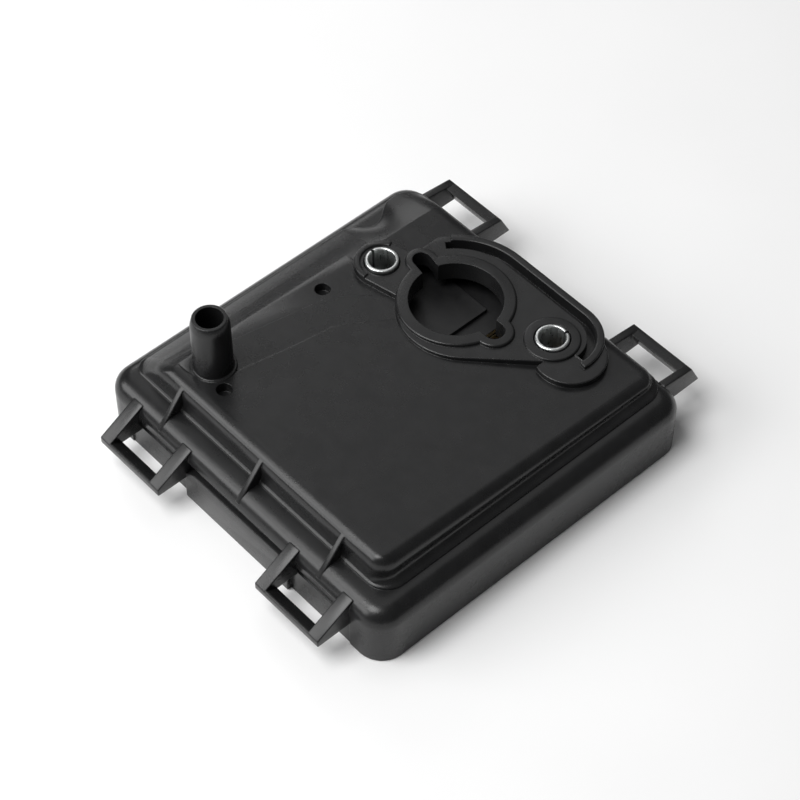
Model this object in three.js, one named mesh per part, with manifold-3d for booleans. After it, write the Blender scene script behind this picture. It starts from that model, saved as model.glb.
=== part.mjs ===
// Air filter housing of a small engine: a moulded tray with its open side down, two split steel
// bushes for the carburettor bolts, an air guide screwed under the port, and a filter cartridge with
// a foam pre-filter that slide out of the open side.
// Millimetres, +Z up. The constants below are measured from the centre of the rim plane on which
// the housing stands, and the finished pieces move together so that the origin is the centre of
// the whole outline. X runs along the two sides that carry the latch loops, and +Y is the side of
// the two bushes.

import * as THREE from "three";
import { mergeVertices } from "three/addons/utils/BufferGeometryUtils.js";
import Module from "manifold-3d";

const wasm = await Module();
wasm.setup();

// ---------------------------------------------------------------- driving dimensions

const WALL = 2; // thickness of every moulded wall
const GAP = 0.3; // clearance between neighbouring pieces

const SKIRT = { halfX: 50.4, halfY: 50.15, cornerR: 6.8, filletR: 4.6, top: 16.9 };

// Foot of the raised upper body on the shoulder of the skirt, and the small step around it.
const FOOT = { left: -46.4, right: 44.4, front: -43, back: 47.5, cornerR: 5.2, z: 17.6 };
const STEP = { out: 0.6, z: 17.5 };
const LEFT_CORNER_R = 4; // its front left corner is tighter than the others
const CORNER_REACH = 13; // how far along X the bend of the left side dies out
const MIN_CORNER_R = 1.2; // the corners tighten towards the plateau, down to this
const CORNER_TAPER = 1.25; // by this much for each millimetre that the wall leans in

// Plateau: it falls gently towards +Y, and its left side is a long soft slope. Its other walls pull
// in near their foot by the amounts in LEAN, stand upright, and turn over in a large round edge.
const PLATEAU = { zAtCentre: 22.8, slope: -0.05, edgeR: 3.2, leftRun: 11.8 };
const LEAN = { right: 1.7, front: 0.4, back: 0.4 };
const WALL_SHARE = 0.5; // share of the plateau's height taken by its wall, before the edge

// The left side pulls in beside the back left corner, along a line of so many points.
const WAVE = { y: 32, halfLength: 8.5, depth: 4.2, points: 8 };

const PORT = { x: -6, y: 25.6, r: 11.8, neckR: 13.8, neckBottom: 18.4, collarR: 14.9 };
const LOBES = [
  { x: -21.4, y: 28.2, r: 2.3, collarR: 4.1 },
  { x: 7.7, y: 25.5, r: 2.7, collarR: 5 },
];
const PAD = { x: -3.6, y: 25.9, r: 16.7, z: 23.2, root: 17.8, left: -24.7 };
const COLLAR_Z = 24;
const BOSS_R = 6.6;
const BOSS_BOTTOM = 16;
const BOSS_RING = { r: 7, z: 23.7 };
const BOSS_RIDGE = { r: 6.2, width: 1.6, startAngle: 117, endAngle: 280 }; // on the left boss
const BUSH = { r: 4.3, boreR: 3.3, splitWidth: 0.7, bottom: 16.1, top: 24.2 };
const BUSHES = [
  { name: "bush_left", x: -27.9, y: 20.8, splitAngle: 178 },
  { name: "bush_right", x: 18.7, y: 34.4, splitAngle: 72 },
];

// Locating rib and the groove inside it: round the port, straight along X, then round the hook's
// own centre near the right bush. The heel is the low round step on which the rib ends.
const HOOK = { x: 18.6, y: 35.3 };
const RIB = { arcR: 20.8, width: 2, root: 15.4, z: 23.9, startAngle: 141, endAngle: -8 };
const GROOVE = { arcR: 18.7, width: 2.2, floor: 20.6, startAngle: 145, endAngle: 0 };
const HEEL = { x: 25, y: 34.4, r: 9.1, z: 23, left: 22.2 };

const TUBE = { x: -29.1, y: -32.1, r: 4.85, boreR: 3.35, tipR: 4.35, tipZ: 39.4, top: 41.5 };
const TUBE_FOOT_R = 6.6;

const PEG_HOLE = { r: 2, depth: 3, bossR: 3.4 };
const PEG_HOLES = [
  { x: -31.6, y: 4.5 },
  { x: -21.4, y: -35.1 },
];

// Gussets from the plateau's front edge down to the skirt: their top at the edge, and their tip.
const GUSSET_XS = [-29, 0.2, 29];
const GUSSET = { width: 1.4, rootIn: 1.6, topIn: 0.6, topDrop: 1.6, tipIn: 0.25, tipZ: 14.3 };

// Latch loops, in distances out from the wall (u) and heights (z).
const FRONT_LOOPS = [
  { x0: -39.9, x1: -17.7 },
  { x0: 17.9, x1: 40.1 },
];
const FRONT_LOOP = { armWidth: 3.6, barIn: 5.7, barOut: 9.4, z0: 7.8, barZ: 9.9, rootZ: 16.1 };
const BACK_LOOPS = [
  { x0: -43.6, x1: -23.7 },
  { x0: 23.7, x1: 43.6 },
];
const BACK_LOOP = { armWidth: 2.2, barIn: 5, barOut: 8.1, z0: 9, barZ: 15, rootZ: 16, lean: 3.1 };
const ROOT_U = -1.5; // the arms are rooted this deep in the wall

// Shallow bands in the outside of the two latch walls, and the pad between the loops.
const BAND = { halfX: 40.2, lowTop: 8.6, highTop: 12.7, lowDepth: 0.4, highDepth: 0.8 };
const WALL_PAD = { x0: -18.5, x1: 19, top: 10.9, cornerR: 4, proud: 0.8 };

// Stack inside the skirt, from the open side upwards.
const FOAM = { halfX: 40, halfY: 39.6, z0: 0.8, z1: 4.2, cornerR: 3 };
const FRAME = { halfX: 45.6, halfY: 45.2, z0: 1.2, z1: 10.9, cornerR: 5, width: 5.2, innerR: 1 };
const LIP = { halfX: 47.8, halfY: 47.4, z0: 6.2, z1: 7.4, cornerR: 5.5 };
const SCREEN = { halfX: 40, halfY: 39.6, thickness: 0.5, windows: 8, barWidth: 1.1, border: 2 };
const SCREENS = [
  { name: "dust_screen", z: 4.6 },
  { name: "clean_screen", z: 10.1 },
];
const PLEATS = { count: 24, sheet: 1.2, halfX: 39.7, halfY: 39.4, z0: 5.4, z1: 9.8 };
const GUIDE = { halfX: 42.4, halfY: 41.6, cornerR: 5, z0: 12.4, z1: 13.8 };
const GUIDE_RISE = { x0: -33, x1: -4.1, y0: 17, y1: 34.6, z: 15 }; // solid shield under the port
const GUIDE_SLOT = { width: 9.5, length: 15, pitchX: 12, pitchY: 18 };
const SCREW = { x: 37, y: 36.8, headR: 3.1, head: 0.8, shankR: 1.4, postR: 3.6, tip: 15.6 };

const CORNER_STEPS = 6;
const ROUND = 32; // sides of a small round piece
const PORT_SIDES = 48;

// ---------------------------------------------------------------- geometry helpers

const rad = THREE.MathUtils.degToRad;

// A closed three.js geometry as a manifold solid.
function solid(geometry) {
  const bare = geometry.index ? geometry.toNonIndexed() : geometry.clone();
  bare.deleteAttribute("normal");
  bare.deleteAttribute("uv");
  const merged = mergeVertices(bare, 1e-4);
  const triVerts = [];
  for (let i = 0; i < merged.index.count; i += 3) {
    const corners = [0, 1, 2].map((k) => merged.index.getX(i + k));
    if (new Set(corners).size === 3) triVerts.push(...corners);
  }
  return new wasm.Manifold(
    new wasm.Mesh({
      numProp: 3,
      vertProperties: merged.attributes.position.array,
      triVerts: new Uint32Array(triVerts),
    }),
  );
}

function geometryOf(manifold) {
  const mesh = manifold.getMesh();
  const positions = new Float32Array(mesh.numVert * 3);
  for (let i = 0; i < mesh.numVert; i++) {
    const start = i * mesh.numProp;
    positions.set(mesh.vertProperties.subarray(start, start + 3), i * 3);
  }
  const geometry = new THREE.BufferGeometry();
  geometry.setAttribute("position", new THREE.BufferAttribute(positions, 3));
  geometry.setIndex(new THREE.BufferAttribute(mesh.triVerts, 1));
  geometry.computeVertexNormals();
  return geometry;
}

// Solid skinned over rings of points with the same count, from bottom to top, each ring
// counter-clockwise seen from above. The two end rings are flat and closed by a fan.
function loft(rings) {
  const count = rings[0].length;
  const ends = [rings[0], rings.at(-1)].map(middle);
  const positions = [...rings.flat(), ...ends].flatMap((p) => [p.x, p.y, p.z]);
  const bottom = rings.length * count;
  const last = (rings.length - 1) * count;
  const index = [];
  for (let i = 0; i < count; i++) {
    const next = (i + 1) % count;
    for (let k = 0; k < last; k += count) {
      index.push(k + i, k + next, k + next + count, k + i, k + next + count, k + i + count);
    }
    index.push(bottom, next, i, bottom + 1, last + i, last + next);
  }
  const geometry = new THREE.BufferGeometry();
  geometry.setAttribute("position", new THREE.Float32BufferAttribute(positions, 3));
  geometry.setIndex(index);
  return solid(geometry);
}

function middle(ring) {
  const sum = ring.reduce((total, p) => total.add(p), new THREE.Vector3());
  return sum.divideScalar(ring.length);
}

const at = (outline, z) => outline.map((p) => new THREE.Vector3(p.x, p.y, z));

// Outline of a rectangle with rounded corners: front left, front right, back right, back left.
function roundedRect(x0, x1, y0, y1, radii, steps = CORNER_STEPS) {
  const r = Array.isArray(radii) ? radii : [radii, radii, radii, radii];
  const centres = [
    [x0 + r[0], y0 + r[0], 180],
    [x1 - r[1], y0 + r[1], 270],
    [x1 - r[2], y1 - r[2], 0],
    [x0 + r[3], y1 - r[3], 90],
  ];
  return centres.flatMap(([cx, cy, start], corner) =>
    Array.from({ length: steps + 1 }, (_, i) => {
      const angle = rad(start + (90 * i) / steps);
      return new THREE.Vector2(cx + r[corner] * Math.cos(angle), cy + r[corner] * Math.sin(angle));
    }),
  );
}

const centredRect = (halfX, halfY, r) => roundedRect(-halfX, halfX, -halfY, halfY, r);

function prism(outline, z0, z1) {
  const geometry = new THREE.ExtrudeGeometry(new THREE.Shape(outline), {
    depth: z1 - z0,
    bevelEnabled: false,
    curveSegments: 1,
  });
  return solid(geometry.translate(0, 0, z0));
}

function cylinder(x, y, r, z0, z1, sides = ROUND) {
  const geometry = new THREE.CylinderGeometry(r, r, z1 - z0, sides);
  return solid(geometry.rotateX(Math.PI / 2).translate(x, y, (z0 + z1) / 2));
}

function box(x0, x1, y0, y1, z0, z1) {
  const geometry = new THREE.BoxGeometry(x1 - x0, y1 - y0, z1 - z0);
  return solid(geometry.translate((x0 + x1) / 2, (y0 + y1) / 2, (z0 + z1) / 2));
}

// Plate between x0 and x1 with an outline given as [y, z] points, counter-clockwise seen from +X.
function sidePlate(points, x0, x1) {
  const shape = new THREE.Shape(points.map(([y, z]) => new THREE.Vector2(y, z)));
  const geometry = new THREE.ExtrudeGeometry(shape, { depth: x1 - x0, bevelEnabled: false });
  const axes = new THREE.Matrix4().makeBasis(
    new THREE.Vector3(0, 1, 0),
    new THREE.Vector3(0, 0, 1),
    new THREE.Vector3(1, 0, 0),
  );
  return solid(geometry.applyMatrix4(axes).translate(x0, 0, 0));
}

function turned(profile, x, y, sides = ROUND) {
  const points = profile.map(([r, z]) => new THREE.Vector2(r, z));
  const geometry = new THREE.LatheGeometry(points, sides);
  return solid(geometry.rotateX(Math.PI / 2).translate(x, y, 0));
}

const join = (solids) => solids.reduce((sum, next) => sum.add(next));
const cut = (body, tools) => tools.reduce((left, tool) => left.subtract(tool), body);

// ---------------------------------------------------------------- base housing

const plateauZ = (y) => PLATEAU.zAtCentre + PLATEAU.slope * y;
const clamp01 = (v) => Math.min(Math.max(v, 0), 1);

// How far the left side pulls in at y, from 0 to 1.
function wave(y) {
  const t = clamp01(Math.abs(y - WAVE.y) / WAVE.halfLength);
  return (1 + Math.cos(Math.PI * t)) / 2;
}

// Outline of the upper body at a share of its height, moved inwards by extra.
function upperOutline(share, extra = 0) {
  const past = clamp01((share - WALL_SHARE) / (1 - WALL_SHARE));
  const edge = PLATEAU.edgeR * (1 - Math.sqrt(1 - past * past));
  const leaning = 1 - (1 - Math.min(share / WALL_SHARE, 1)) ** 4;
  const inset = (lean) => lean * leaning + edge + extra;
  const softness = 0.8 * share + 0.2 * share ** 3;
  const left = FOOT.left + PLATEAU.leftRun * softness + extra;
  const cornerR = Math.max(FOOT.cornerR - CORNER_TAPER * inset(LEAN.front), MIN_CORNER_R);
  const leftCornerR = LEFT_CORNER_R - (LEFT_CORNER_R - MIN_CORNER_R) * past;
  const outline = roundedRect(
    left,
    FOOT.right - inset(LEAN.right),
    FOOT.front + inset(LEAN.front),
    FOOT.back - inset(LEAN.back),
    [leftCornerR, cornerR, cornerR, cornerR],
  );
  for (let i = 0; i < WAVE.points; i++) {
    const y = WAVE.y + WAVE.halfLength * (0.85 - (1.85 * i) / (WAVE.points - 1));
    outline.push(new THREE.Vector2(left, y));
  }
  const depth = WAVE.depth * (1 - share);
  const onLeft = (p) => clamp01(1 - (p.x - left) / (CORNER_REACH));
  return outline.map((p) => new THREE.Vector2(p.x + depth * wave(p.y) * onLeft(p), p.y));
}

// Ring of the upper body at a share of its height, sunk by drop below the outer surface.
function upperRing(share, extra = 0, drop = 0) {
  return upperOutline(share, extra).map(
    (p) => new THREE.Vector3(p.x, p.y, FOOT.z - drop + share * (plateauZ(p.y) - FOOT.z)),
  );
}

// Heights at which the upper body has a ring: evenly up the wall, then round the edge.
const WALL_STEPS = 4;
const EDGE_STEPS = 6;
const UPPER_SHARES = [
  ...Array.from({ length: WALL_STEPS }, (_, i) => (WALL_SHARE * i) / WALL_STEPS),
  ...Array.from({ length: EDGE_STEPS + 1 }, (_, i) => {
    return WALL_SHARE + (1 - WALL_SHARE) * Math.sin(rad((90 * i) / EDGE_STEPS));
  }),
];

function upperBody() {
  const step = upperOutline(0, -STEP.out);
  const rings = UPPER_SHARES.map((share) => upperRing(share));
  return loft([at(step, SKIRT.top - WALL), at(step, STEP.z), ...rings]);
}

function upperCavity() {
  const rings = UPPER_SHARES.map((share) => upperRing(share, WALL, WALL));
  return loft([at(upperOutline(0, WALL), SKIRT.top - 2 * WALL), ...rings]);
}

// Skirt block with its top edge rounded, or the hollow inside it.
function skirtBlock(inset, z0, top, filletR) {
  const rings = [at(centredRect(SKIRT.halfX - inset, SKIRT.halfY - inset, SKIRT.cornerR - inset), z0)];
  const steps = 5;
  for (let i = 0; i <= steps; i++) {
    const angle = rad((90 * i) / steps);
    const pull = inset + filletR * (1 - Math.cos(angle));
    const cornerR = Math.max(SKIRT.cornerR - pull, 1);
    const outline = centredRect(SKIRT.halfX - pull, SKIRT.halfY - pull, cornerR);
    rings.push(at(outline, top - filletR + filletR * Math.sin(angle)));
  }
  return loft(rings);
}

// Points of an arc, in degrees.
function arc(cx, cy, r, from, to, steps = 14) {
  return Array.from({ length: steps + 1 }, (_, i) => {
    const angle = rad(from + ((to - from) * i) / steps);
    return new THREE.Vector2(cx + r * Math.cos(angle), cy + r * Math.sin(angle));
  });
}

// Band of one width that runs round the port, straight along X and then round the right bush.
function hookBand(band, z0, z1) {
  const bendR = PORT.y + band.arcR - HOOK.y;
  const edge = (offset) => [
    ...arc(PORT.x, PORT.y, band.arcR + offset, band.startAngle, 90),
    ...arc(HOOK.x, HOOK.y, bendR + offset, 90, band.endAngle),
  ];
  return prism([...edge(band.width / 2), ...edge(-band.width / 2).reverse()], z0, z1);
}

// Convex outline around two circles, used where a raised face runs from one boss to the next.
function bridge(a, ra, b, rb) {
  const along = THREE.MathUtils.radToDeg(Math.atan2(b.y - a.y, b.x - a.x));
  const open = THREE.MathUtils.radToDeg(Math.acos((ra - rb) / Math.hypot(b.x - a.x, b.y - a.y)));
  return [
    ...arc(a.x, a.y, ra, along + open, along + 360 - open, 16),
    ...arc(b.x, b.y, rb, along - open, along + open, 16),
  ];
}

// Raised face between the right bush and the rib, where the rib bends round the bush.
function bendFace() {
  const bendR = PORT.y + RIB.arcR - HOOK.y;
  const outline = [new THREE.Vector2(HOOK.x, HEEL.y), ...arc(HOOK.x, HOOK.y, bendR, 0, 90, 10)];
  return prism(outline, PAD.root, PAD.z);
}

// Raised faces round the port and the two bushes, up to the locating rib.
function mountingPad() {
  const [left, right] = BUSHES;
  const ribOuter = RIB.arcR + RIB.width / 2;
  const back = PORT.y + RIB.arcR;
  const behind = [
    new THREE.Vector2(PORT.x, PORT.y),
    new THREE.Vector2(right.x, right.y),
    new THREE.Vector2(right.x, back),
    new THREE.Vector2(PORT.x, back),
  ];
  const leadIn = [
    new THREE.Vector2(PORT.x, PORT.y),
    ...arc(PORT.x, PORT.y, ribOuter, 85, RIB.startAngle, 10),
    new THREE.Vector2(PAD.left, PORT.y + ribOuter * Math.sin(rad(RIB.startAngle)) - 2.5),
    new THREE.Vector2(PAD.left, PORT.y),
  ];
  const faces = [
    bridge(left, BOSS_RING.r, PORT, BOSS_RING.r),
    bridge(PAD, PAD.r, right, BOSS_RING.r),
    behind,
    leadIn,
  ].map((outline) => prism(outline, PAD.root, PAD.z));
  return join(faces);
}

// The right boss is a round step, and the left one carries a curved ridge.
function bosses() {
  const [left, right] = BUSHES;
  const ridge = [BOSS_RIDGE.width / 2, -BOSS_RIDGE.width / 2].map((offset) =>
    arc(left.x, left.y, BOSS_RIDGE.r + offset, BOSS_RIDGE.startAngle, BOSS_RIDGE.endAngle, 20),
  );
  return [
    cylinder(right.x, right.y, BOSS_RING.r, PAD.root, BOSS_RING.z, PORT_SIDES),
    prism([...ridge[0], ...ridge[1].reverse()], PAD.root, BOSS_RING.z),
  ];
}

// The heel stops short on its left, where the edge of the mounting pad runs past it.
function heel() {
  const disc = cylinder(HEEL.x, HEEL.y, HEEL.r, PAD.root, HEEL.z, PORT_SIDES);
  const y0 = HEEL.y - HEEL.r - 1;
  return disc.subtract(box(HEEL.left - 10, HEEL.left, y0, BUSHES[1].y, PAD.root - 1, HEEL.z + 1));
}

function collar() {
  const ring = cylinder(PORT.x, PORT.y, PORT.collarR, PAD.root, COLLAR_Z, PORT_SIDES);
  const arms = LOBES.map((lobe) =>
    prism(bridge(lobe, lobe.collarR, PORT, lobe.collarR), PAD.root, COLLAR_Z),
  );
  return join([ring, ...arms]);
}

// The round hole with its two keyhole lobes.
function portHole() {
  const hole = cylinder(PORT.x, PORT.y, PORT.r, 0, COLLAR_Z + 5, PORT_SIDES);
  const lobes = LOBES.map((lobe) => prism(bridge(lobe, lobe.r, PORT, lobe.r), 0, COLLAR_Z + 5));
  return join([hole, ...lobes]);
}

function breatherTube() {
  const foot = plateauZ(TUBE.y);
  const profile = [
    [0, foot - 1],
    [TUBE_FOOT_R, foot - 1],
    [TUBE_FOOT_R, foot + 0.3],
    [TUBE.r + 0.5, foot + 0.8],
    [TUBE.r + 0.1, foot + 2.2],
    [TUBE.r, TUBE.tipZ],
    [TUBE.tipR, TUBE.top],
    [0, TUBE.top],
  ];
  return turned(profile, TUBE.x, TUBE.y);
}

// Gusset rising from the front of the skirt to the plateau's edge.
function gusset(x) {
  const inner = FOOT.front + GUSSET.rootIn;
  const outer = -SKIRT.halfY + GUSSET.tipIn;
  const points = [
    [inner, plateauZ(inner) - 1],
    [FOOT.front + GUSSET.topIn, plateauZ(FOOT.front) - GUSSET.topDrop],
    [outer, GUSSET.tipZ],
    [outer + 1, GUSSET.tipZ - 1.5],
    [inner, SKIRT.top - 1],
  ];
  return sidePlate(points, x - GUSSET.width / 2, x + GUSSET.width / 2);
}

// A latch loop: two side arms and a bar, whose outlines are [u, z] points.
function latchLoop({ x0, x1 }, sign, armWidth, armOutline, barOutline) {
  const place = (points) => {
    const placed = points.map(([u, z]) => [sign * (SKIRT.halfY + u), z]);
    return sign < 0 ? placed.reverse() : placed;
  };
  return join([
    sidePlate(place(armOutline), x0, x0 + armWidth),
    sidePlate(place(armOutline), x1 - armWidth, x1),
    sidePlate(place(barOutline), x0, x1),
  ]);
}

function latchLoops() {
  const f = FRONT_LOOP;
  const frontArm = [
    [ROOT_U, f.z0],
    [f.barOut, f.z0],
    [f.barOut, f.barZ],
    [ROOT_U, f.rootZ],
  ];
  const frontBar = [
    [f.barIn, f.z0],
    [f.barOut, f.z0],
    [f.barOut, f.barZ],
    [f.barOut - 0.5, f.barZ + 0.1],
    [f.barIn, f.z0 + 0.5],
  ];
  const b = BACK_LOOP;
  const backArm = [
    [ROOT_U, b.z0],
    [b.barOut + b.lean, b.z0],
    [b.barOut, b.barZ],
    [ROOT_U, b.rootZ],
  ];
  const backBar = [
    [b.barIn + b.lean, b.z0],
    [b.barOut + b.lean, b.z0],
    [b.barOut, b.barZ],
    [b.barIn, b.barZ],
  ];
  return [
    ...FRONT_LOOPS.map((span) => latchLoop(span, -1, f.armWidth, frontArm, frontBar)),
    ...BACK_LOOPS.map((span) => latchLoop(span, 1, b.armWidth, backArm, backBar)),
  ];
}

// Shallow bands cut into the outside of the latch wall on the side where y has this sign.
function wallBands(sign) {
  const slab = (depth, z0, z1) => {
    const ys = [sign * (SKIRT.halfY - depth), sign * (SKIRT.halfY + 1)].sort((a, b) => a - b);
    return box(-BAND.halfX, BAND.halfX, ys[0], ys[1], z0, z1);
  };
  return [slab(BAND.lowDepth, -1, BAND.lowTop), slab(BAND.highDepth, BAND.lowTop, BAND.highTop)];
}

function wallPad() {
  const r = WALL_PAD.cornerR;
  const outline = [
    new THREE.Vector2(WALL_PAD.x0, 0),
    new THREE.Vector2(WALL_PAD.x1, 0),
    ...arc(WALL_PAD.x1 - r, WALL_PAD.top - r, r, 0, 90, 5),
    ...arc(WALL_PAD.x0 + r, WALL_PAD.top - r, r, 90, 180, 5),
  ];
  const depth = BAND.highDepth + WALL_PAD.proud;
  const geometry = new THREE.ExtrudeGeometry(new THREE.Shape(outline), { depth, bevelEnabled: false });
  geometry.rotateX(Math.PI / 2);
  return solid(geometry.translate(0, -SKIRT.halfY + BAND.highDepth + 0.1, 0));
}

const screwPlaces = [-1, 1].flatMap((sx) =>
  [-1, 1].map((sy) => ({ x: sx * SCREW.x, y: sy * SCREW.y })),
);

// Everything that stands inside the hollow, trimmed by the outer shape: the port's neck, the
// columns round the bushes and the peg holes, and the posts that the air guide is screwed to.
function innerColumns(outer) {
  const top = COLLAR_Z;
  const columns = [
    cylinder(PORT.x, PORT.y, PORT.neckR, PORT.neckBottom, top, PORT_SIDES),
    ...BUSHES.map(({ x, y }) => cylinder(x, y, BOSS_R, BOSS_BOTTOM, top)),
    ...PEG_HOLES.map(({ x, y }) => cylinder(x, y, PEG_HOLE.bossR, plateauZ(y) - 4.6, top, 20)),
    ...screwPlaces.map(({ x, y }) => cylinder(x, y, SCREW.postR, GUIDE.z1 + GAP, top, 20)),
  ];
  return join(columns).intersect(outer);
}

function baseHousing() {
  const skirt = cut(skirtBlock(0, 0, SKIRT.top, SKIRT.filletR), [...wallBands(-1), ...wallBands(1)]);
  const outer = join([
    skirt,
    upperBody(),
    wallPad(),
    mountingPad(),
    ...bosses(),
    heel(),
    bendFace(),
    collar(),
    hookBand(RIB, RIB.root, RIB.z),
    breatherTube(),
    ...latchLoops(),
    ...GUSSET_XS.map(gusset),
  ]);
  const hollow = [skirtBlock(WALL, -1, SKIRT.top - WALL, WALL), upperCavity()];
  const body = join([cut(outer, hollow), innerColumns(outer)]);
  return cut(body, [
    portHole(),
    hookBand(GROOVE, GROOVE.floor, RIB.z + 1),
    cylinder(TUBE.x, TUBE.y, TUBE.boreR, SKIRT.top - WALL, TUBE.top + 1),
    ...BUSHES.map(({ x, y }) => cylinder(x, y, BUSH.r + GAP, BOSS_BOTTOM - 1, COLLAR_Z + 1)),
    ...PEG_HOLES.map(({ x, y }) =>
      cylinder(x, y, PEG_HOLE.r, plateauZ(y) - PEG_HOLE.depth, plateauZ(y) + 2, 20),
    ),
    ...screwPlaces.map(({ x, y }) => cylinder(x, y, SCREW.shankR + GAP, 0, SCREW.tip + GAP, 16)),
  ]);
}

// ---------------------------------------------------------------- bushes

// Bush rolled from steel strip, with a narrow split down one side.
function splitBush({ x, y, splitAngle }) {
  const chamfer = 0.35;
  const profile = [
    [BUSH.boreR, BUSH.bottom],
    [BUSH.r - chamfer, BUSH.bottom],
    [BUSH.r, BUSH.bottom + chamfer],
    [BUSH.r, BUSH.top - chamfer],
    [BUSH.r - chamfer, BUSH.top],
    [BUSH.boreR, BUSH.top],
    [BUSH.boreR, BUSH.bottom],
  ];
  const half = BUSH.splitWidth / 2;
  const split = new THREE.BoxGeometry(BUSH.r * 2, 2 * half, BUSH.top * 2);
  split.translate(BUSH.r, 0, 0).rotateZ(rad(splitAngle)).translate(x, y, BUSH.top);
  return turned(profile, x, y).subtract(solid(split));
}

// ---------------------------------------------------------------- air guide and its screws

function airGuide() {
  const plate = prism(centredRect(GUIDE.halfX, GUIDE.halfY, GUIDE.cornerR), GUIDE.z0, GUIDE.z1);
  const { x0, x1, y0, y1, z } = GUIDE_RISE;
  const rise = box(x0, x1, y0, y1, GUIDE.z0 + 0.5, z);
  const slots = [];
  for (let column = -2.5; column <= 2.5; column++) {
    for (let row = -1.5; row <= 1.5; row++) {
      const x = column * GUIDE_SLOT.pitchX;
      const y = row * GUIDE_SLOT.pitchY;
      const halfX = GUIDE_SLOT.width / 2;
      const halfY = GUIDE_SLOT.length / 2;
      const underRise = x - halfX < x1 && y + halfY > y0;
      const underTube = Math.abs(x - TUBE.x) < halfX && Math.abs(y - TUBE.y) < GUIDE_SLOT.pitchY / 2;
      if (underRise || underTube) continue;
      const outline = roundedRect(x - halfX, x + halfX, y - halfY, y + halfY, 1, 2);
      slots.push(prism(outline, GUIDE.z0 - 1, GUIDE.z1 + 1));
    }
  }
  const holes = screwPlaces.map(({ x, y }) =>
    cylinder(x, y, SCREW.shankR + GAP, GUIDE.z0 - 1, GUIDE.z1 + 1, 16),
  );
  return cut(plate.add(rise), [...slots, ...holes]);
}

// Pan-head screw, its head under the air guide, with a cross recess.
function screw({ x, y }) {
  const headTop = GUIDE.z0 - GAP;
  const headBottom = headTop - SCREW.head;
  const body = cylinder(x, y, SCREW.headR, headBottom, headTop, 24).add(
    cylinder(x, y, SCREW.shankR, headTop - 0.2, SCREW.tip, 16),
  );
  const arm = 1.7;
  const slotHalf = 0.35;
  const depth = 0.5;
  return cut(body, [
    box(x - arm, x + arm, y - slotHalf, y + slotHalf, headBottom - 1, headBottom + depth),
    box(x - slotHalf, x + slotHalf, y - arm, y + arm, headBottom - 1, headBottom + depth),
  ]);
}

// ---------------------------------------------------------------- filter cartridge

function elementFrame() {
  const outer = (part) => centredRect(part.halfX, part.halfY, part.cornerR);
  const inner = centredRect(FRAME.halfX - FRAME.width, FRAME.halfY - FRAME.width, FRAME.innerR);
  return prism(outer(FRAME), FRAME.z0, FRAME.z1)
    .add(prism(outer(LIP), LIP.z0, LIP.z1))
    .subtract(prism(inner, FRAME.z0 - 1, FRAME.z1 + 1));
}

// Sheet folded to and fro along X.
function pleatedMedia() {
  const folds = 2 * PLEATS.count;
  const low = PLEATS.z0 + PLEATS.sheet / 2;
  const high = PLEATS.z1 - PLEATS.sheet / 2;
  const edge = (offset) =>
    Array.from({ length: folds + 1 }, (_, i) => {
      const x = -PLEATS.halfX + (2 * PLEATS.halfX * i) / folds;
      return [x, (i % 2 ? high : low) + offset];
    });
  const outline = [...edge(-PLEATS.sheet / 2), ...edge(PLEATS.sheet / 2).reverse()];
  const shape = new THREE.Shape(outline.map(([x, z]) => new THREE.Vector2(x, z)));
  const depth = 2 * PLEATS.halfY;
  const geometry = new THREE.ExtrudeGeometry(shape, { depth, bevelEnabled: false });
  return solid(geometry.rotateX(Math.PI / 2).translate(0, PLEATS.halfY, 0));
}

// Stamped screen: a thin plate with square windows.
function screen(z) {
  const { halfX, halfY, windows, barWidth, border } = SCREEN;
  const pitchX = (2 * (halfX - border) + barWidth) / windows;
  const pitchY = (2 * (halfY - border) + barWidth) / windows;
  const openings = [];
  for (let column = 0; column < windows; column++) {
    for (let row = 0; row < windows; row++) {
      const x0 = -halfX + border + column * pitchX;
      const y0 = -halfY + border + row * pitchY;
      openings.push(box(x0, x0 + pitchX - barWidth, y0, y0 + pitchY - barWidth, z - 1, z + 2));
    }
  }
  return cut(prism(centredRect(halfX, halfY, 3), z, z + SCREEN.thickness), openings);
}

const foam = () => prism(centredRect(FOAM.halfX, FOAM.halfY, FOAM.cornerR), FOAM.z0, FOAM.z1);

// ---------------------------------------------------------------- assembly

const MATERIALS = {
  housing_plastic: { color: 0x1b1c1d, roughness: 0.55, metalness: 0 },
  guide_plastic: { color: 0x202122, roughness: 0.6, metalness: 0 },
  zinc_steel: { color: 0xa9abad, roughness: 0.35, metalness: 0.9 },
  screw_steel: { color: 0x8d8f92, roughness: 0.35, metalness: 0.9 },
  frame_urethane: { color: 0x2c2d2b, roughness: 0.85, metalness: 0 },
  filter_paper: { color: 0xd9c9a4, roughness: 0.9, metalness: 0 },
  screen_steel: { color: 0x9b9d9f, roughness: 0.4, metalness: 0.8 },
  foam: { color: 0x3a3b3d, roughness: 1, metalness: 0 },
};

const PIECES = [
  ["base_housing", "housing_plastic", baseHousing],
  ...BUSHES.map((bush) => [bush.name, "zinc_steel", () => splitBush(bush)]),
  ["air_guide", "guide_plastic", airGuide],
  ...screwPlaces.map((place, i) => [`guide_screw_${i + 1}`, "screw_steel", () => screw(place)]),
  ["element_frame", "frame_urethane", elementFrame],
  ["pleated_media", "filter_paper", pleatedMedia],
  ...SCREENS.map(({ name, z }) => [name, "screen_steel", () => screen(z)]),
  ["foam_prefilter", "foam", foam],
];

// The outline's middle in Y, between the outer faces of the front and the back loops.
const MIDDLE_Y = (BACK_LOOP.barOut + BACK_LOOP.lean - FRONT_LOOP.barOut) / 2;

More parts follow.
